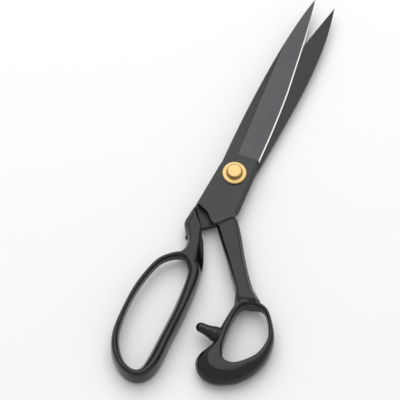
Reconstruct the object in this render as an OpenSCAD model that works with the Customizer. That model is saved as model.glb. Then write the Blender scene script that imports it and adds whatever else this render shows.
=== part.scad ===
// Fabric shears: two steel blades set in cast, enamelled handles, joined at one pivot bolt.
// X points right and Y points to the blade tips. Z is the pivot axis, with 0 at the surface the shears lie on.
// Each half is drawn closed, in its own frame, and then turned about the pivot to its resting angle.

/* [Pose] */
// Angle of the front half from closed, degrees
front_turn = 2.6; // [1.5:0.1:4]
// Angle of the back half from closed, degrees
back_turn = 3.1; // [1.5:0.1:4]

/* [Blades] */
// Pivot axis to the blade tips
tip_reach = 121.3; // [105:0.1:146]
// Pivot axis to the heel, where the cutting edge starts
heel_reach = 12; // [11:0.1:14.5]
// Width of each blade at the heel
blade_w = 19.2; // [16:0.1:21]
// Thickness of each blade at the pivot
blade_t = 4.2; // [3.5:0.1:5.5]
// Thickness that the back of each blade loses from heel to tip
blade_taper = 2; // [1:0.1:2.5]
// Thickness left at the cutting edge by the ground bevel
edge_t = 0.9; // [0.8:0.05:1.2]
// Gap between the flat inner faces of the two blades
blade_gap = 0.1; // [0.05:0.05:0.3]
// Depth of the hollow grind in each inner face
hollow_depth = 0.25; // [0.1:0.05:0.5]
// Width of the chamfer along the edge side of the front blade's flat
flat_chamfer = 1.3; // [0.5:0.1:2]

/* [Pivot] */
// Diameter of the bolt shank
shank_d = 7; // [5:0.1:8.5]
// How much wider than the shank the square neck is that keys the bolt to the back blade
key_margin = 0.2; // [0.1:0.1:1]
// Diameter of the bolt head under the back blade
head_d = 14; // [12:0.5:16]
// Thickness of the bolt head
head_t = 2.2; // [1.5:0.1:3]
// Diameter of the brass washer
washer_d = 13.7; // [12:0.1:16]
// Thickness of the brass washer
washer_t = 1.1; // [0.8:0.1:2]
// Thickness of the brass nut's wall at its base
nut_wall = 1.2; // [1:0.1:1.6]
// Height of the brass nut above the washer
nut_h = 2.7; // [2:0.1:4]
// Radial running clearance of the front blade on the shank
pivot_fit = 0.06; // [0.03:0.01:0.1]
// Clearance of the keyed, threaded and seated fits
seat_fit = 0.04; // [0.02:0.01:0.1]

/* [Handles] */
// Thickness of the bows
bow_t = 12.8; // [10.8:0.1:14]
// Height that the necks stand above the front blade's flat
neck_rise = 1.3; // [0.6:0.1:2]
// Length of the finger bow's opening
finger_l = 68; // [58:0.5:80]
// Width of the finger bow's opening
finger_w = 23.4; // [20:0.1:27]
// Length of the thumb bow's opening
thumb_l = 35.1; // [30:0.1:42]
// Width of the thumb bow's opening
thumb_w = 21; // [18:0.1:25]
// Length of the stop peg on the thumb bow
peg_l = 11.4; // [8:0.1:11.4]
// Diameter of the stop peg near its end
peg_d = 5.6; // [4.5:0.1:6.5]
// Length of the tang that each blade sends into its handle
tang_l = 14; // [10:0.5:16]
// Width of the tang
tang_w = 6; // [4:0.1:6.5]
// Thickness of the tang
tang_t = 2.4; // [1.8:0.1:2.8]

/* [Hidden] */

// Heights of the stack, from the bolt head up
back_low = head_t;
back_top = back_low + blade_t;
front_low = back_top + blade_gap;
front_top = front_low + blade_t;
washer_low = front_top + blade_gap;
washer_top = washer_low + washer_t;
nut_top = washer_top + nut_h;
bow_mid = bow_t / 2;
neck_w = shank_d + key_margin;
nut_d = shank_d + 2 * nut_wall;
neck_top = front_top + neck_rise;

steel = "#56585b";
enamel = "#1b1c1e";
brass = "#d8bd72";
bolt_steel = "#8a8c90";

// Each side of a blade narrows to the tip as a power curve: share of half the blade's
// width at the heel, power of the way to the tip, and fullness
front_back_side = [0.94, 2, 0.8];
front_edge_side = [1, 2.2, 1];
back_back_side = [1, 3.6, 1];
back_edge_side = [1, 1.75, 1];
// Width left at the very tip
tip_w = 0.35;
blade_steps = 20;

// The flat below the heel, from the heel's edge side round to its back side, on the
// outer side of the blade
front_flat = [
    [10.5, 3], [11, -20], [9, -24.5], [2, -32],
    [-0.5, -31.5], [-5, -27], [-12, -24], [-11.5, -19.5], [-10, -9], [-9, -2]
];
back_flat = [
    [10.5, 3], [10.5, -25.5], [1, -36],
    [-2.5, -32.5], [-10.5, -24.5], [-11, -20], [-10, -9], [-9, -1.5]
];
// First of the two corners of each flat between which the neck is seated
front_seat = 2;
back_seat = 1;
// Gap between a blade and the shoulders of its neck
shoulder_fit = 0.1;

// Direction of each tang, along its neck
front_tang_turn = -52;
back_tang_turn = -99;

// Bow rows, counterclockwise from the top of the opening: the opening's edge as shares of its
// half width and half length, bar width, half thickness as a share, and where the crown lies
// across the bar (below 1 it moves outward, above 1 it moves to the opening)
finger_rows = [
    [0.05, 1, 4, 0.65, 1], [-0.45, 0.9, 3, 0.6, 1], [-0.8, 0.7, 3, 0.6, 1],
    [-1, 0.25, 3, 0.65, 1], [-0.95, -0.2, 3, 0.75, 1], [-0.7, -0.6, 4, 0.85, 0.8],
    [-0.25, -0.85, 5, 0.9, 0.7], [0.3, -1, 5, 1, 0.6], [0.85, -1, 6, 1, 0.5],
    [1, -0.8, 7.5, 1, 0.5], [0.95, -0.3, 7, 1, 0.5], [0.85, 0.25, 7, 1, 0.5],
    [0.65, 0.75, 7, 0.9, 0.7], [0.45, 0.9, 6.5, 0.8, 0.9]
];
thumb_rows = [
    [-0.05, 1, 3, 0.75, 1], [-0.5, 0.95, 4, 0.8, 1], [-0.85, 0.8, 4, 0.9, 1],
    [-1, 0.4, 4, 0.9, 1.2], [-1, -0.1, 5, 0.95, 1.4], [-0.95, -0.5, 5.5, 1, 1.6],
    [-0.8, -0.8, 12.5, 1, 1.8], [-0.65, -0.95, 15.5, 1, 1.9], [-0.4, -1, 13, 1, 2], [0, -0.95, 10, 1, 2],
    [0.5, -0.7, 8, 1, 2], [0.85, -0.4, 6, 0.95, 1.8], [1, 0, 4.5, 0.9, 1.5],
    [0.95, 0.3, 3.5, 0.75, 1.2], [0.65, 0.7, 2.5, 0.65, 1], [0.3, 0.95, 2.5, 0.65, 1]
];
finger_centre = [-1.8, -91.2];
thumb_centre = [42.8, -85.9];

// Neck rows after the seat, on the way to the bow: middle and width of the bar, turn of its
// section, underside and top, then the width and drop of the left and right chamfers
thumb_neck = [
    [8, -29.5, 12, 48, front_low, neck_top, 1, 2, 1.5, 2],
    [13.5, -37, 11.5, 35, front_low, neck_top, 1, 2.5, 2, 3],
    [19.5, -45.5, 10, 32, 3.5, neck_top, 1, 2.5, 2, 3.5],
    [25.5, -54, 9.5, 24, 1, neck_top, 1, 2.5, 2, 3.5],
    [31, -61, 10, 18, 0.5, neck_top, 1, 3, 2.5, 4],
    [35, -66, 14, 16, 0.5, neck_top, 2, 4, 3, 4.5],
    [36, -69.5, 14, 16, 1.5, neck_top - 1, 2, 4, 3, 5]
];
finger_neck = [
    [-5, -33, 14, -43, 1, neck_top - 0.5, 1.5, 2, 1, 2],
    [-4.5, -37, 14, -30, 1, neck_top - 0.5, 3, 3, 2, 3],
    [-3.5, -40.5, 15, -18, 1, neck_top - 0.5, 4, 4, 3, 4],
    [-1, -44, 13.5, -16, 0.5, neck_top - 0.5, 3, 4, 3.5, 4.5],
    [1.5, -47.5, 12.5, -17, 0.5, neck_top - 0.5, 2, 4, 4.5, 5],
    [3, -51, 13.5, -18, 0.5, neck_top - 0.5, 2, 4, 5.5, 5.5],
    [3.5, -54, 15, -18, 0.5, neck_top - 1, 2, 4, 5.5, 5.5],
    [3, -57, 17, -16, 1, neck_top - 1.5, 2, 4, 5.5, 5.5]
];

// Smooth curves through given rows (each row may hold sizes as well as a place)
function spline(a, b, c, d, t) =
    (2 * b + (c - a) * t + (2 * a - 5 * b + 4 * c - d) * t * t + (3 * b - a - 3 * c + d) * t * t * t) / 2;
function closed_curve(rows, steps) = [
    for (i = [0 : len(rows) - 1], s = [0 : steps - 1])
        let (n = len(rows))
        spline(rows[(i + n - 1) % n], rows[i], rows[(i + 1) % n], rows[(i + 2) % n], s / steps)
];
function open_curve(rows, steps) = [
    for (i = [0 : len(rows) - 2], s = [0 : steps - (i == len(rows) - 2 ? 0 : 1)])
        spline(rows[max(i - 1, 0)], rows[i], rows[i + 1], rows[min(i + 2, len(rows) - 1)], s / steps)
];
function signed_power(v, p) = sign(v) * pow(abs(v), p);

// Closed skin round a loop of rings with equal numbers of points
module skin(rings) {
    n = len(rings);
    m = len(rings[0]);
    polyhedron(
        [for (r = rings) each r],
        [
            for (i = [0 : n - 1], j = [0 : m - 1])
                let (
                    near = i * m,
                    next = ((i + 1) % n) * m,
                    k = (j + 1) % m
                )
                each [[near + j, near + k, next + k], [near + j, next + k, next + j]]
        ]
    );
}

// Ring of a bow: rounded bars of changing width round an opening, with outer walls that lean in
// towards the top
bow_steps = 5;
bow_sides = 16;
bow_squareness = 0.75;
bow_lean = 0.08;
module bow(rows, centre, w, l) {
    stations = closed_curve(rows, bow_steps);
    n = len(stations);
    edge = [for (r = stations) centre + [r[0] * w / 2, r[1] * l / 2]];
    skin([
        for (i = [0 : n - 1])
            let (
                r = stations[i],
                d = edge[(i + 1) % n] - edge[(i + n - 1) % n],
                out = [d.y, -d.x] / norm(d)
            )
            [for (j = [0 : bow_sides - 1])
                let (
                    a = -j * 360 / bow_sides,
                    s = pow((1 - signed_power(cos(a), bow_squareness)) / 2, r[4]),
                    rise = r[3] * signed_power(sin(a), bow_squareness),
                    p = edge[i] + out * r[2] * s * (1 - bow_lean * rise)
                )
                [p.x, p.y, bow_mid * (1 + rise)]]
    ]);
}

// Face of a flat that its neck is seated on: middle, width and turn, seen from above
function seat_at(flat, first, side) =
    let (
        corners = [for (p = [flat[first], flat[first + 1]]) [side * p.x, p.y]],
        across = side > 0 ? corners[0] - corners[1] : corners[1] - corners[0],
        out = [across.y, -across.x] / norm(across),
        middle = (corners[0] + corners[1]) / 2 + out * shoulder_fit
    )
    [middle.x, middle.y, norm(across), atan2(across.y, across.x)];

// Bar from the seat to the bow, with chamfered top corners and a small chamfer below
neck_steps = 2;
foot_chamfer = 1;
slice = 0.02;
module neck(rows) {
    stations = open_curve(rows, neck_steps);
    for (i = [0 : len(stations) - 2]) {
        hull() {
            bar_section(stations[i]);
            bar_section(stations[i + 1]);
        }
    }
}
module bar_section(r) {
    w = r[2];
    translate([r[0], r[1], 0])
        rotate([90, 0, r[3]])
            translate([-w / 2, 0, 0])
                linear_extrude(slice)
                    polygon([
                        [foot_chamfer, r[4]], [0, r[4] + foot_chamfer],
                        [0, r[5] - r[7]], [r[6], r[5]],
                        [w - r[8], r[5]], [w, r[5] - r[9]],
                        [w, r[4] + foot_chamfer], [w - foot_chamfer, r[4]]
                    ]);
}

// Outline of a blade with its flat, heel side first
function side_reach(side, t) =
    max(blade_w / 2 * side[0] * pow(1 - pow(t, side[1]), side[2]), tip_w / 2);
function blade_outline(back_side, edge_side, flat) =
    let (
        ways = [for (i = [0 : blade_steps]) sin(90 * i / blade_steps)],
        y = function (t) heel_reach + t * (tip_reach - heel_reach)
    )
    concat(
        flat,
        [for (t = ways) [-side_reach(back_side, t), y(t)]],
        [for (i = [blade_steps : -1 : 0]) [side_reach(edge_side, ways[i]), y(ways[i])]]
    );

// Tongue that runs from the middle of the seat into the neck
tang_root = 3;
module tang(flat, first, turn, slack) {
    middle = (flat[first] + flat[first + 1]) / 2;
    translate([middle.x, middle.y, (blade_t - tang_t) / 2 - slack])
        rotate(turn)
            translate([-tang_root, -tang_w / 2 - slack, 0])
                cube([tang_root + tang_l + slack, tang_w + 2 * slack, tang_t + 2 * slack]);
}

// One blade with its inner face on z = 0, its outer side up and its edge to the right
bevel_start = 2.9;
bevel_lean = 2;
bevel_slope = atan((blade_t - edge_t) / (bevel_start + blade_w / 2));
hollow_share = 0.66;
hollow_w = hollow_share * blade_w;
hollow_r = hollow_w * hollow_w / 8 / hollow_depth;
hollow_start = 4;
hollow_l = 0.8 * (tip_reach - heel_reach);
hollow_lean = atan(hollow_depth / hollow_l);
cutter = 200;
module blade(back_side, edge_side, flat, first, tang_turn) {
    taper = atan(blade_taper / (tip_reach - heel_reach));
    difference() {
        union() {
            linear_extrude(blade_t)
                polygon(blade_outline(back_side, edge_side, flat));
            tang(flat, first, tang_turn, 0);
        }
        // back of the blade thins towards the tip
        translate([-cutter / 2, heel_reach, blade_t])
            rotate([-taper, 0, 0])
                cube([cutter, cutter, blade_t]);
        // ground bevel, ending in a shoulder at the heel
        translate([-bevel_start, heel_reach, blade_t])
            rotate([-taper, 0, bevel_lean])
                rotate([0, bevel_slope, 0])
                    cube([cutter, cutter, 2 * blade_t]);
        // hollow grind of the inner face
        translate([0, heel_reach + hollow_start, hollow_depth - hollow_r])
            rotate([-90 - hollow_lean, 0, 0])
                cylinder(h = hollow_l, r = hollow_r, $fn = 180);
    }
}

// The half's own frame at rest
module front_half() {
    rotate(front_turn) children();
}
module back_half() {
    rotate(-back_turn) children();
}

// Slope along the edge side of the front flat
flat_side_slope = 68;
flat_side_lean = 0.8;
flat_side_foot = -22;
flat_side_l = heel_reach - flat_side_foot - 1;
module front_blade() {
    color(steel)
        front_half()
            translate([0, 0, front_low])
                difference() {
                    blade(front_back_side, front_edge_side, front_flat, front_seat, front_tang_turn);
                    translate([0, 0, -1])
                        cylinder(h = blade_t + 2, d = shank_d + 2 * pivot_fit, $fn = 96);
                    translate([front_flat[0].x - flat_chamfer, flat_side_foot, blade_t])
                        rotate([0, flat_side_slope, flat_side_lean])
                            cube([blade_t * 2, flat_side_l, blade_t]);
                }
}

module back_blade() {
    keyway = neck_w + 2 * seat_fit;
    color(steel)
        back_half()
            translate([0, 0, back_top])
                rotate([0, 180, 0])
                    difference() {
                        blade(back_back_side, back_edge_side, back_flat, back_seat, back_tang_turn);
                        translate([-keyway / 2, -keyway / 2, -1])
                            cube([keyway, keyway, blade_t + 2]);
                    }
}

// Stop peg, swelling into the thumb bow
peg_steps = 8;
peg_root = [26.5, -91, 8];
peg_rise = 0.6;
peg_flare = 0.55;
module stop_peg() {
    for (i = [0 : peg_steps - 1]) {
        hull() {
            peg_bead(i / peg_steps);
            peg_bead((i + 1) / peg_steps);
        }
    }
}
module peg_bead(t) {
    r = peg_d / 2 * (1 + peg_flare * t * t);
    translate([peg_root.x - (peg_l - peg_d / 2) * (1 - t), peg_root.y + peg_rise * (1 - t), peg_root.z])
        sphere(r, $fn = 20);
}

module thumb_handle() {
    seat = seat_at(front_flat, front_seat, 1);
    color(enamel)
        front_half()
            difference() {
                union() {
                    neck(concat([concat(seat, [front_low, front_top, 0.4, 0.4, 0.4, 0.4])], thumb_neck));
                    bow(thumb_rows, thumb_centre, thumb_w, thumb_l);
                    stop_peg();
                }
                translate([0, 0, front_low])
                    tang(front_flat, front_seat, front_tang_turn, seat_fit);
            }
}

module finger_handle() {
    seat = seat_at(back_flat, back_seat, -1);
    color(enamel)
        back_half()
            difference() {
                union() {
                    neck(concat([concat(seat, [1, back_top, 0.2, 0.2, 0.2, 0.2])], finger_neck));
                    bow(finger_rows, finger_centre, finger_w, finger_l);
                }
                translate([0, 0, back_top])
                    rotate([0, 180, 0])
                        tang(back_flat, back_seat, back_tang_turn, seat_fit);
            }
}

module pivot_bolt() {
    bevel = 0.5;
    color(bolt_steel)
        back_half() {
            rotate_extrude($fn = 96)
                polygon([
                    [0, 0], [head_d / 2 - bevel, 0], [head_d / 2, bevel], [head_d / 2, head_t],
                    [shank_d / 2, head_t], [shank_d / 2, nut_top - 1], [0, nut_top - 1]
                ]);
            translate([-neck_w / 2, -neck_w / 2, head_t])
                cube([neck_w, neck_w, blade_t - seat_fit]);
        }
}

module pivot_washer() {
    bevel = 0.35;
    color(brass)
        translate([0, 0, washer_low])
            rotate_extrude($fn = 96)
                polygon([
                    [shank_d / 2 + seat_fit, 0], [washer_d / 2 - bevel, 0], [washer_d / 2, bevel],
                    [washer_d / 2, washer_t - bevel], [washer_d / 2 - bevel, washer_t],
                    [shank_d / 2 + seat_fit, washer_t]
                ]);
}

// Cap nut: a hollow foot, a straight side and a bevelled crown over the shank's end
module pivot_nut() {
    crown = 0.6;
    foot = 0.5;
    shank_end = nut_top - 1 - washer_top + seat_fit;
    color(brass)
        translate([0, 0, washer_top])
            rotate_extrude($fn = 96)
                polygon([
                    [shank_d / 2 + seat_fit, 0], [nut_d / 2, 0], [nut_d / 2 - foot * 0.7, foot * 0.4],
                    [nut_d / 2 - foot, foot], [nut_d / 2 - foot, nut_h - crown],
                    [nut_d / 2 - foot - crown, nut_h], [0, nut_h],
                    [0, shank_end], [shank_d / 2 + seat_fit, shank_end]
                ]);
}

front_blade();
back_blade();
thumb_handle();
finger_handle();
pivot_bolt();
pivot_washer();
pivot_nut();
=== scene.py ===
import math

import bmesh
import bpy
from mathutils import Matrix, Vector


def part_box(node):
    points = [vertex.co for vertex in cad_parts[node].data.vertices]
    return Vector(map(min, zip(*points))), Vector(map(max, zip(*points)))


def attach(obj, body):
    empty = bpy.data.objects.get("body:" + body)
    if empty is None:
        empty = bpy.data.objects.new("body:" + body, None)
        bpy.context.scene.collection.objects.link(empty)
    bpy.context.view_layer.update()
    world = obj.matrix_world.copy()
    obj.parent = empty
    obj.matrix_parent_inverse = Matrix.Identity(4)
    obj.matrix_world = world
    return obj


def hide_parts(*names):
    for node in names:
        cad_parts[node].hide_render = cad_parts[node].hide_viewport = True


# Fabric shears in blackened steel and black enamel, with a brass pivot. Metres throughout.
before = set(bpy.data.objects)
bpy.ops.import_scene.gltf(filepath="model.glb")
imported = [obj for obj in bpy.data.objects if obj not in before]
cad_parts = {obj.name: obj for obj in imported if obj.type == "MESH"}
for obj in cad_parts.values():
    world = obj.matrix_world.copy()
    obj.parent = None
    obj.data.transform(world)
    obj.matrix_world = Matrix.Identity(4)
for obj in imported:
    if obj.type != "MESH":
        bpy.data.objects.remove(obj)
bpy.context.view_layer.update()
mm = 0.001
print("frame loaded:", ", ".join(sorted(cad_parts)))

# How far each half is turned about the pivot at rest, anticlockwise from above
restTurn = {"thumb_half": math.radians(2.6), "finger_half": math.radians(-3.1)}


# Small helpers for node trees

def nodeTree(name):
    material = bpy.data.materials.new(name)
    material.use_nodes = True
    tree = material.node_tree
    return material, tree, tree.nodes["Principled BSDF"]


def addNode(tree, kind, **values):
    node = tree.nodes.new(kind)
    for key, value in values.items():
        if key in node.inputs:
            node.inputs[key].default_value = value
        else:
            setattr(node, key, value)
    return node


def addMath(tree, operation, first, second=0.0, clamp=False):
    node = tree.nodes.new("ShaderNodeMath")
    node.operation = operation
    node.use_clamp = clamp
    for socket, value in zip(node.inputs, (first, second)):
        if isinstance(value, (int, float)):
            socket.default_value = value
        else:
            tree.links.new(value, socket)
    return node.outputs[0]


def mixColours(tree, share, low, high):
    node = addNode(tree, "ShaderNodeMix", data_type="RGBA", blend_type="MIX")
    node.inputs[6].default_value = (*low, 1)
    node.inputs[7].default_value = (*high, 1)
    tree.links.new(share, node.inputs[0])
    return node.outputs[2]


def newGroup(name, inputs, outputs):
    group = bpy.data.node_groups.new(name, "ShaderNodeTree")
    for label, value in inputs:
        socket = group.interface.new_socket(label, in_out="INPUT", socket_type="NodeSocketFloat")
        socket.default_value = value
    for label in outputs:
        group.interface.new_socket(label, in_out="OUTPUT", socket_type="NodeSocketFloat")
    return group, group.nodes.new("NodeGroupInput"), group.nodes.new("NodeGroupOutput")


def placeGroup(tree, group, **values):
    node = tree.nodes.new("ShaderNodeGroup")
    node.node_tree = group
    for key, value in values.items():
        node.inputs[key].default_value = value
    return node


def bumpFrom(tree, shader, height, strength, distance=0.0002):
    bump = addNode(tree, "ShaderNodeBump", Strength=strength, Distance=distance)
    tree.links.new(height, bump.inputs["Height"])
    tree.links.new(bump.outputs["Normal"], shader.inputs["Normal"])


# Surface effects that several finishes share

def makeGrindMarks():
    # fine parallel scratches along one direction, over a broad unevenness
    group, ins, outs = newGroup("grindMarks", [("Across", 900.0), ("Along", 14.0), ("Turn", 0.0)],
                                ["Scratches", "Patches"])
    coord = group.nodes.new("ShaderNodeTexCoord")
    turn = group.nodes.new("ShaderNodeVectorRotate")
    turn.rotation_type = "Z_AXIS"
    group.links.new(coord.outputs["Object"], turn.inputs["Vector"])
    group.links.new(ins.outputs["Turn"], turn.inputs["Angle"])
    scale = group.nodes.new("ShaderNodeCombineXYZ")
    group.links.new(ins.outputs["Across"], scale.inputs["X"])
    group.links.new(ins.outputs["Along"], scale.inputs["Y"])
    group.links.new(ins.outputs["Across"], scale.inputs["Z"])
    stretch = group.nodes.new("ShaderNodeVectorMath")
    stretch.operation = "MULTIPLY"
    group.links.new(turn.outputs["Vector"], stretch.inputs[0])
    group.links.new(scale.outputs["Vector"], stretch.inputs[1])
    fine = addNode(group, "ShaderNodeTexNoise", Scale=1.0, Detail=4.0, Roughness=0.65)
    group.links.new(stretch.outputs[0], fine.inputs["Vector"])
    broad = addNode(group, "ShaderNodeTexNoise", Scale=90.0, Detail=3.0, Roughness=0.55)
    group.links.new(coord.outputs["Object"], broad.inputs["Vector"])
    group.links.new(addMath(group, "SUBTRACT", fine.outputs["Fac"], 0.5), outs.inputs["Scratches"])
    group.links.new(addMath(group, "SUBTRACT", broad.outputs["Fac"], 0.5), outs.inputs["Patches"])
    return group


def makeTurningRings():
    # rings left by a lathe tool, centred on the pivot axis
    group, ins, outs = newGroup("turningRings", [("Pitch", 5200.0)], ["Rings"])
    coord = group.nodes.new("ShaderNodeTexCoord")
    split = group.nodes.new("ShaderNodeSeparateXYZ")
    group.links.new(coord.outputs["Object"], split.inputs["Vector"])
    squares = [addMath(group, "MULTIPLY", split.outputs[axis], split.outputs[axis]) for axis in ("X", "Y")]
    radius = addMath(group, "SQRT", addMath(group, "ADD", *squares))
    reach = addMath(group, "ADD", radius, split.outputs["Z"])
    waves = addNode(group, "ShaderNodeTexNoise", noise_dimensions="1D", Scale=1.0, Detail=2.0)
    group.links.new(addMath(group, "MULTIPLY", reach, ins.outputs["Pitch"]), waves.inputs["W"])
    group.links.new(addMath(group, "SUBTRACT", waves.outputs["Fac"], 0.5), outs.inputs["Rings"])
    return group


def makeEnamelSkin():
    # soft orange peel of thick enamel, with a few dust specks in it
    group, ins, outs = newGroup("enamelSkin", [("Peel", 420.0), ("Specks", 1500.0)],
                                ["Height", "Dust", "Patches"])
    coord = group.nodes.new("ShaderNodeTexCoord")
    peel = addNode(group, "ShaderNodeTexNoise", Detail=2.0, Roughness=0.5)
    dust = addNode(group, "ShaderNodeTexVoronoi")
    broad = addNode(group, "ShaderNodeTexNoise", Scale=60.0, Detail=3.0)
    for texture in (peel, dust, broad):
        group.links.new(coord.outputs["Object"], texture.inputs["Vector"])
    group.links.new(ins.outputs["Peel"], peel.inputs["Scale"])
    group.links.new(ins.outputs["Specks"], dust.inputs["Scale"])
    group.links.new(peel.outputs["Fac"], outs.inputs["Height"])
    group.links.new(addMath(group, "LESS_THAN", dust.outputs["Distance"], 0.06), outs.inputs["Dust"])
    group.links.new(addMath(group, "SUBTRACT", broad.outputs["Fac"], 0.5), outs.inputs["Patches"])
    return group


grindMarks = makeGrindMarks()
turningRings = makeTurningRings()
enamelSkin = makeEnamelSkin()


# The flats' colour darkens towards the tips
fade = {"from": 5 * mm, "to": 70 * mm, "share": 0.55}


def fadeAlong(tree):
    coord = tree.nodes.new("ShaderNodeTexCoord")
    split = tree.nodes.new("ShaderNodeSeparateXYZ")
    tree.links.new(coord.outputs["Object"], split.inputs["Vector"])
    ramp = tree.nodes.new("ShaderNodeMapRange")
    ramp.inputs["From Min"].default_value = fade["from"]
    ramp.inputs["From Max"].default_value = fade["to"]
    ramp.inputs["To Min"].default_value = 1
    ramp.inputs["To Max"].default_value = fade["share"]
    tree.links.new(split.outputs["Y"], ramp.inputs["Value"])
    return ramp.outputs["Result"]


def steelFinish(name, tone, roughness, turn=0.0, variation=0.25, scratch=0.05, faded=False):
    material, tree, shader = nodeTree(name)
    marks = placeGroup(tree, grindMarks, Turn=turn)
    shader.inputs["Metallic"].default_value = 1.0
    lines = addMath(tree, "MULTIPLY", marks.outputs["Scratches"], variation)
    clouds = addMath(tree, "MULTIPLY", marks.outputs["Patches"], variation * 0.6)
    share = addMath(tree, "ADD", addMath(tree, "ADD", lines, clouds), 0.5, clamp=True)
    if faded:
        share = addMath(tree, "MULTIPLY", share, fadeAlong(tree))
    colour = mixColours(tree, share, [c * 0.55 for c in tone], [c * 1.45 for c in tone])
    tree.links.new(colour, shader.inputs["Base Color"])
    rough = addMath(tree, "ADD", addMath(tree, "MULTIPLY", marks.outputs["Scratches"], 0.22), roughness)
    tree.links.new(rough, shader.inputs["Roughness"])
    bumpFrom(tree, shader, marks.outputs["Scratches"], scratch)
    return material


def turnedFinish(name, tone, roughness, rings=0.08):
    material, tree, shader = nodeTree(name)
    lathe = placeGroup(tree, turningRings)
    marks = placeGroup(tree, grindMarks, Across=300.0, Along=300.0)
    shader.inputs["Metallic"].default_value = 1.0
    stain = addMath(tree, "MULTIPLY", marks.outputs["Patches"], 0.5)
    share = addMath(tree, "ADD", stain, 0.5, clamp=True)
    tree.links.new(mixColours(tree, share, [c * 0.85 for c in tone], tone), shader.inputs["Base Color"])
    rough = addMath(tree, "ADD", addMath(tree, "MULTIPLY", marks.outputs["Patches"], 0.15), roughness)
    tree.links.new(rough, shader.inputs["Roughness"])
    bumpFrom(tree, shader, lathe.outputs["Rings"], rings)
    return material


def enamelFinish(name, tone, roughness):
    material, tree, shader = nodeTree(name)
    skin = placeGroup(tree, enamelSkin)
    share = addMath(tree, "MULTIPLY", skin.outputs["Dust"], 0.35)
    tree.links.new(mixColours(tree, share, tone, [c * 3 + 0.02 for c in tone]), shader.inputs["Base Color"])
    shader.inputs["IOR"].default_value = 1.52
    shader.inputs["Coat Weight"].default_value = 0.12
    shader.inputs["Specular IOR Level"].default_value = 0.22
    shader.inputs["Coat Roughness"].default_value = 0.12
    rough = addMath(tree, "ADD", addMath(tree, "MULTIPLY", skin.outputs["Patches"], 0.2), roughness)
    tree.links.new(rough, shader.inputs["Roughness"])
    bumpFrom(tree, shader, skin.outputs["Height"], 0.12)
    return material


steel = {
    "flat": (0.035, 0.036, 0.036),
    "ground": (0.074, 0.076, 0.078),
    "inner": (0.027, 0.028, 0.028),
    "side": (0.04, 0.041, 0.043),
    "honed": (0.66, 0.66, 0.65),
}
quarter = math.radians(90)
bladeFinishes = {
    "flat": steelFinish("blackenedFlat", steel["flat"], 0.42, faded=True),
    "ground": steelFinish("groundBevel", steel["ground"], 0.36, turn=quarter, variation=0.4),
    "inner": steelFinish("innerFace", steel["inner"], 0.4, turn=quarter),
    "side": steelFinish("blackenedSide", steel["side"], 0.4),
    "honed": steelFinish("honedEdge", steel["honed"], 0.55, turn=quarter),
}
boltSteel = turnedFinish("turnedBolt", (0.45, 0.45, 0.46), 0.32)
brassFinish = turnedFinish("polishedBrass", (0.4, 0.28, 0.12), 0.3)
blackEnamel = enamelFinish("blackEnamel", (0.0028, 0.003, 0.0033), 0.2)
print("finishes made")


# Meshes

def copyOfNode(name):
    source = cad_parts[name]
    mesh = source.data.copy()
    mesh.materials.clear()
    piece = bpy.data.objects.new(name + "Skin", mesh)
    piece.matrix_world = source.matrix_world.copy()
    bpy.context.scene.collection.objects.link(piece)
    return piece


def applyModifiers(piece):
    evaluated = piece.evaluated_get(bpy.context.evaluated_depsgraph_get())
    mesh = bpy.data.meshes.new_from_object(evaluated)
    piece.modifiers.clear()
    old = piece.data
    piece.data = mesh
    bpy.data.meshes.remove(old)


def standFor(piece, node, body):
    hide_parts(node)
    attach(piece, body)


# Cast handles: the remesh melts the bars into one skin, and the smoothing rounds their corners
handle = {"voxel": 0.4 * mm, "rounding": 5}


def makeHandle(node, body):
    piece = copyOfNode(node)
    remesh = piece.modifiers.new("skin", "REMESH")
    remesh.mode = "VOXEL"
    remesh.voxel_size = handle["voxel"]
    remesh.use_smooth_shade = True
    relax = piece.modifiers.new("rounding", "SMOOTH")
    relax.factor = 0.5
    relax.iterations = handle["rounding"]
    applyModifiers(piece)
    piece.data.materials.append(blackEnamel)
    standFor(piece, node, body)


makeHandle("thumb_handle", "thumb_half")
makeHandle("finger_handle", "finger_half")
print("handles made")


# Blades: the CAD solid with its faces sorted into finishes, a honed strip along the cutting
# edge and small broken corners. The edge of the front blade is on the right and its ground side
# faces up; the back blade is the other way round.
blade = {
    "heel": 12 * mm,
    "honedWidth": 0.75 * mm,
    "tipFade": 30 * mm,
    "corner": 0.12 * mm,
    "sharpAngle": math.radians(22),
    "smoothAngle": math.radians(6),
}


def finishOf(normal, centre, side):
    outward = normal.z * side
    if outward > 0.9:
        return "ground" if normal.x * side > 0.1 and centre.y > blade["heel"] else "flat"
    return "inner" if outward < -0.9 else "side"


def cuttingEdgesOf(ground, side):
    # the long edges of the ground face on the blade's cutting side
    found = []
    for edge in ground.edges:
        first, second = (vert.co for vert in edge.verts)
        along = second - first
        if abs(along.y) > abs(along.x) and (first.x + second.x) * side > 0.2 * mm:
            found.append(edge)
    return found


def splitBeside(face, vert, cuttingEdges):
    # a new corner on the face's own outline, just past the end of its cutting edge
    beside = [edge for edge in vert.link_edges if edge in face.edges and edge not in cuttingEdges][0]
    share = min(0.45, blade["honedWidth"] / beside.calc_length())
    return bmesh.utils.edge_split(beside, vert, share)[1]


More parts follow.
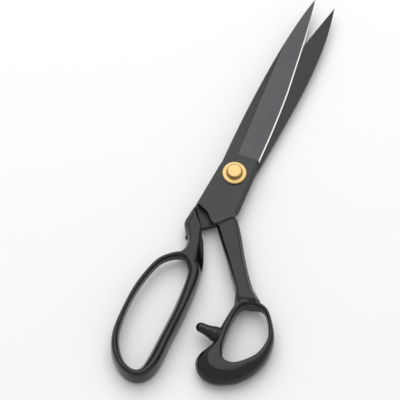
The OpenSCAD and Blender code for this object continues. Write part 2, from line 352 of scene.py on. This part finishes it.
def honeEdge(shape, side, groundIndex, honedIndex):
    # the strip along the cutting edge is split off the ground face and narrows to the tip
    ground = max((f for f in shape.faces if f.material_index == groundIndex), key=lambda f: f.calc_area())
    cuttingEdges = cuttingEdgesOf(ground, side)
    chain = sorted({vert for edge in cuttingEdges for vert in edge.verts}, key=lambda vert: vert.co.y)
    tip = chain[-1].co.y
    inner = []
    for before, vert, after in zip(chain, chain[1:], chain[2:]):
        along = after.co - before.co
        inward = Vector((-along.y, along.x, 0)).normalized() * side
        step = blade["honedWidth"] * min(1, max(0.2, (tip - vert.co.y) / blade["tipFade"]))
        inward.z = -ground.normal.dot(inward) / ground.normal.z
        inner.append(vert.co + inward * step)
    heelCorner = splitBeside(ground, chain[0], cuttingEdges)
    tipCorner = splitBeside(ground, chain[-1], cuttingEdges)
    bmesh.utils.face_split(ground, heelCorner, tipCorner, coords=inner)
    for face in chain[1].link_faces:
        if face.material_index == groundIndex:
            face.material_index = honedIndex


def makeBlade(node, body, side):
    piece = copyOfNode(node)
    toHalf = Matrix.Rotation(-restTurn[body], 4, "Z")
    shape = bmesh.new()
    shape.from_mesh(piece.data)
    bmesh.ops.transform(shape, matrix=toHalf, verts=shape.verts)
    bmesh.ops.remove_doubles(shape, verts=shape.verts, dist=0.001 * mm)
    bmesh.ops.dissolve_limit(shape, angle_limit=math.radians(0.4), verts=shape.verts, edges=shape.edges)
    shape.normal_update()
    names = list(bladeFinishes)
    for face in shape.faces:
        face.material_index = names.index(finishOf(face.normal, face.calc_center_median(), side))
    honeEdge(shape, side, names.index("ground"), names.index("honed"))
    bmesh.ops.triangulate(shape, faces=[f for f in shape.faces if len(f.verts) > 4])
    bmesh.ops.transform(shape, matrix=toHalf.inverted(), verts=shape.verts)
    shape.to_mesh(piece.data)
    shape.free()
    for finish in bladeFinishes.values():
        piece.data.materials.append(finish)
    corners = piece.modifiers.new("corners", "BEVEL")
    corners.width = blade["corner"]
    corners.segments = 2
    corners.limit_method = "ANGLE"
    corners.angle_limit = blade["sharpAngle"]
    corners.use_clamp_overlap = False
    applyModifiers(piece)
    for polygon in piece.data.polygons:
        polygon.use_smooth = True
    piece.data.set_sharp_from_angle(angle=blade["smoothAngle"])
    standFor(piece, node, body)


makeBlade("front_blade", "thumb_half", 1)
makeBlade("back_blade", "finger_half", -1)
print("blades made")


# Pivot: turned pieces, each revolved from a profile that fills its CAD box
pivot = {"segments": 128, "boreRadius": 3.54 * mm}


def roundedProfile(corners, radius):
    # each corner of the profile is cut back by the radius and turned through three points
    points = []
    for index, (r, z, sharp) in enumerate(corners):
        here = Vector((r, z))
        before = Vector(corners[index - 1][:2])
        after = Vector(corners[(index + 1) % len(corners)][:2])
        if sharp:
            points.append(here)
            continue
        reach = min(radius, (before - here).length * 0.45, (after - here).length * 0.45)
        start = here + (before - here).normalized() * reach
        end = here + (after - here).normalized() * reach
        points += [start, start * 0.25 + here * 0.5 + end * 0.25, end]
    return points


def makeTurned(node, profile, finish):
    verts, faces = [], []
    count = pivot["segments"]
    for point in profile:
        for step in range(count):
            angle = 2 * math.pi * step / count
            verts.append((point.x * math.cos(angle), point.x * math.sin(angle), point.y))
    for row in range(len(profile)):
        after = (row + 1) % len(profile)
        for step in range(count):
            turn = (step + 1) % count
            faces.append((row * count + step, row * count + turn, after * count + turn, after * count + step))
    mesh = bpy.data.meshes.new(node + "Skin")
    mesh.from_pydata(verts, [], faces)
    shape = bmesh.new()
    shape.from_mesh(mesh)
    bmesh.ops.remove_doubles(shape, verts=shape.verts, dist=0.001 * mm)
    bmesh.ops.recalc_face_normals(shape, faces=shape.faces)
    shape.to_mesh(mesh)
    shape.free()
    for polygon in mesh.polygons:
        polygon.use_smooth = True
    mesh.set_sharp_from_angle(angle=math.radians(40))
    mesh.materials.append(finish)
    piece = bpy.data.objects.new(node + "Skin", mesh)
    bpy.context.scene.collection.objects.link(piece)
    standFor(piece, node, "finger_half")


washer = {"footBevel": 0.3 * mm, "crownShare": 0.35, "crownBevel": 0.5 * mm, "rounding": 0.3 * mm}


def makeWasher():
    low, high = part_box("pivot_washer")
    outer = high[0]
    bore = pivot["boreRadius"]
    foot = washer["footBevel"]
    shoulder = high[2] - washer["crownShare"] * (high[2] - low[2])
    rim = [(bore, low[2], True), (outer - foot, low[2], False), (outer, low[2] + foot, False),
           (outer, shoulder, False), (outer - washer["crownBevel"], high[2], False), (bore, high[2], True)]
    profile = roundedProfile(rim, washer["rounding"])
    makeTurned("pivot_washer", profile, brassFinish)


nut = {
    "footDraft": 0.1 * mm,
    "footRise": 0.3 * mm,
    "waistRise": 0.6 * mm,
    "waistStep": 0.5 * mm,
    "crown": 0.5 * mm,
    "roofThickness": 1 * mm,
    "rounding": 0.28 * mm,
}


def makeNut():
    low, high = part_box("pivot_nut")
    foot = high[0]
    waist = foot - nut["waistStep"]
    bore = pivot["boreRadius"]
    roof = high[2] - nut["roofThickness"]
    side = [(bore, low[2], True), (foot, low[2], False),
            (foot - nut["footDraft"], low[2] + nut["footRise"], False),
            (waist, low[2] + nut["waistRise"], False), (waist, high[2] - nut["crown"], False),
            (waist - nut["crown"], high[2], False), (0, high[2], True), (0, roof, True), (bore, roof, True)]
    makeTurned("pivot_nut", roundedProfile(side, nut["rounding"]), brassFinish)


makeWasher()
makeNut()
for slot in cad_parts["pivot_bolt"].material_slots:
    slot.material = boltSteel
print("pivot made")


# Stage
studio = {
    "cameraAt": (0.22462, -0.51732, 1.18470),
    "lookAt": (-0.01104, -0.02103, 0.0065),
    "lens": 212.73,
    "boxToward": (-0.26, 0.42, 0.87),
    "boxDistance": 1.5,
    "boxSize": 1.6,
    "boxRadiance": 1.95,
    "ambient": 0.57,
}


def lookFrom(thing, place, target):
    thing.location = place
    thing.rotation_euler = (Vector(target) - Vector(place)).to_track_quat("-Z", "Y").to_euler()


def makeCamera():
    data = bpy.data.cameras.new("camera")
    data.lens = studio["lens"]
    data.sensor_width = 36
    data.clip_end = 20
    camera = bpy.data.objects.new("camera", data)
    bpy.context.scene.collection.objects.link(camera)
    lookFrom(camera, studio["cameraAt"], studio["lookAt"])
    bpy.context.scene.camera = camera


def makeSoftbox():
    data = bpy.data.lights.new("softbox", "AREA")
    data.shape = "SQUARE"
    data.size = studio["boxSize"]
    data.energy = studio["boxRadiance"] * math.pi * studio["boxSize"] ** 2
    lamp = bpy.data.objects.new("softbox", data)
    bpy.context.scene.collection.objects.link(lamp)
    place = Vector(studio["boxToward"]).normalized() * studio["boxDistance"]
    lookFrom(lamp, place, (0, 0, 0))


def makeWorld():
    # plain white to the camera and in every reflection, and softer as light on the object
    world = bpy.data.worlds.new("studio")
    bpy.context.scene.world = world
    world.use_nodes = True
    tree = world.node_tree
    background = tree.nodes["Background"]
    background.inputs["Color"].default_value = (1, 1, 1, 1)
    rays = tree.nodes.new("ShaderNodeLightPath")
    seen = addMath(tree, "MAXIMUM", rays.outputs["Is Camera Ray"], rays.outputs["Is Transmission Ray"])
    mirrored = addMath(tree, "MAXIMUM", seen, rays.outputs["Is Glossy Ray"])
    strength = addMath(tree, "MAXIMUM", mirrored, studio["ambient"])
    tree.links.new(strength, background.inputs["Strength"])


floorPlan = {"reach": 6, "tone": 0.95, "roughness": 0.9, "drop": 0.1 * mm}


def makeFloor():
    mesh = bpy.data.meshes.new("floor")
    size = floorPlan["reach"]
    corners = [(-size, -size, 0), (size, -size, 0), (size, size, 0), (-size, size, 0)]
    mesh.from_pydata(corners, [], [(0, 1, 2, 3)])
    floor = bpy.data.objects.new("floor", mesh)
    bpy.context.scene.collection.objects.link(floor)
    material, tree, shader = nodeTree("paperFloor")
    shader.inputs["Base Color"].default_value = (*[floorPlan["tone"]] * 3, 1)
    shader.inputs["Roughness"].default_value = floorPlan["roughness"]
    mesh.materials.append(material)
    floor.location.z = -floorPlan["drop"]


makeCamera()
makeSoftbox()
makeWorld()
makeFloor()
bpy.context.scene.view_settings.view_transform = "Standard"
print("stage set")
